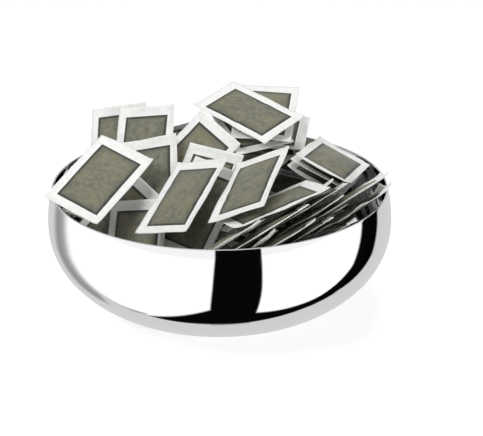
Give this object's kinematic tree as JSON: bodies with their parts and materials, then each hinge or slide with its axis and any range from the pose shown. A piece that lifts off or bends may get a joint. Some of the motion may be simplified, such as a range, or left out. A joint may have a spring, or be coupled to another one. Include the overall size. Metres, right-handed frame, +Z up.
{
  "type": "sugar packet holder",
  "caption": "Mirror-polished round steel bowl with a rolled rim, heaped with closed paper sugar sachets that lift out.",
  "frame": {"origin": "centre of the bowl's flat foot, on the surface that it stands on", "axes": "+Z up through the bowl's mouth; the picture looks along +Y, with +X to its right"},
  "size_m": [0.2304, 0.2304, 0.1297],
  "materials": {
    "steel": "mirror-polished stainless steel, clear reflections",
    "sachet_paper": "coated white paper with a taupe printed panel, slightly glossy"
  },
  "bodies": {
    "heap": {"bowl": "steel", "floor_packets_1": "sachet_paper", "floor_packets_2": "sachet_paper", "floor_packets_3": "sachet_paper", "floor_packets_4": "sachet_paper", "floor_packets_5": "sachet_paper", "floor_packets_6": "sachet_paper", "rear_packets_1": "sachet_paper", "rear_packets_2": "sachet_paper", "rear_packets_3": "sachet_paper", "rear_packets_4": "sachet_paper", "rear_packets_5": "sachet_paper", "core_packet_1": "sachet_paper", "core_packet_2": "sachet_paper", "core_packet_3": "sachet_paper", "core_packet_4": "sachet_paper", "core_packet_5": "sachet_paper", "core_packet_6": "sachet_paper", "core_packet_7": "sachet_paper", "front_packet_1": "sachet_paper", "front_packet_2": "sachet_paper", "front_packet_3": "sachet_paper", "front_packet_4": "sachet_paper", "front_packet_5": "sachet_paper", "front_packet_6": "sachet_paper", "front_packet_7": "sachet_paper", "front_packet_9": "sachet_paper", "front_packet_10": "sachet_paper", "front_packet_11": "sachet_paper", "front_packet_12": "sachet_paper", "right_packet_1": "sachet_paper", "right_packet_2": "sachet_paper", "right_packet_3": "sachet_paper", "right_packet_4": "sachet_paper", "right_packet_6": "sachet_paper", "right_packet_7": "sachet_paper", "right_packet_8": "sachet_paper", "right_packet_9": "sachet_paper", "right_packet_10": "sachet_paper", "right_packet_11": "sachet_paper", "fan_packet_1": "sachet_paper", "crown_packet_1": "sachet_paper", "crown_packet_2": "sachet_paper", "crown_packet_3": "sachet_paper", "side_packet_1": "sachet_paper", "side_packet_2": "sachet_paper", "back_packet_1": "sachet_paper", "back_packet_2": "sachet_paper", "left_back_packet_1": "sachet_paper", "left_back_packet_2": "sachet_paper", "left_back_packet_3": "sachet_paper"},
    "loose_crown_4": {"crown_packet_4": "sachet_paper"},
    "loose_front_8": {"front_packet_8": "sachet_paper"},
    "loose_front_13": {"front_packet_13": "sachet_paper"},
    "loose_fan_2": {"fan_packet_2": "sachet_paper"},
    "loose_side_3": {"side_packet_3": "sachet_paper"},
    "loose_right_5": {"right_packet_5": "sachet_paper"}
  },
  "joints": [
    {"name": "crown_4_lift", "type": "slide", "parent": "heap", "child": "loose_crown_4", "axis": [0, 0, 1], "range_m": [0, 0.15]},
    {"name": "front_8_lift", "type": "slide", "parent": "heap", "child": "loose_front_8", "axis": [0, 0, 1], "range_m": [0, 0.15]},
    {"name": "front_13_lift", "type": "slide", "parent": "heap", "child": "loose_front_13", "axis": [0, 0, 1], "range_m": [0, 0.15]},
    {"name": "fan_2_lift", "type": "slide", "parent": "heap", "child": "loose_fan_2", "axis": [0, 0, 1], "range_m": [0, 0.15]},
    {"name": "side_3_lift", "type": "slide", "parent": "heap", "child": "loose_side_3", "axis": [0, 0, 1], "range_m": [0, 0.15]},
    {"name": "right_5_lift", "type": "slide", "parent": "heap", "child": "loose_right_5", "axis": [0.8567, 0.1874, 0.4806], "range_m": [0, 0.15]}
  ]
}
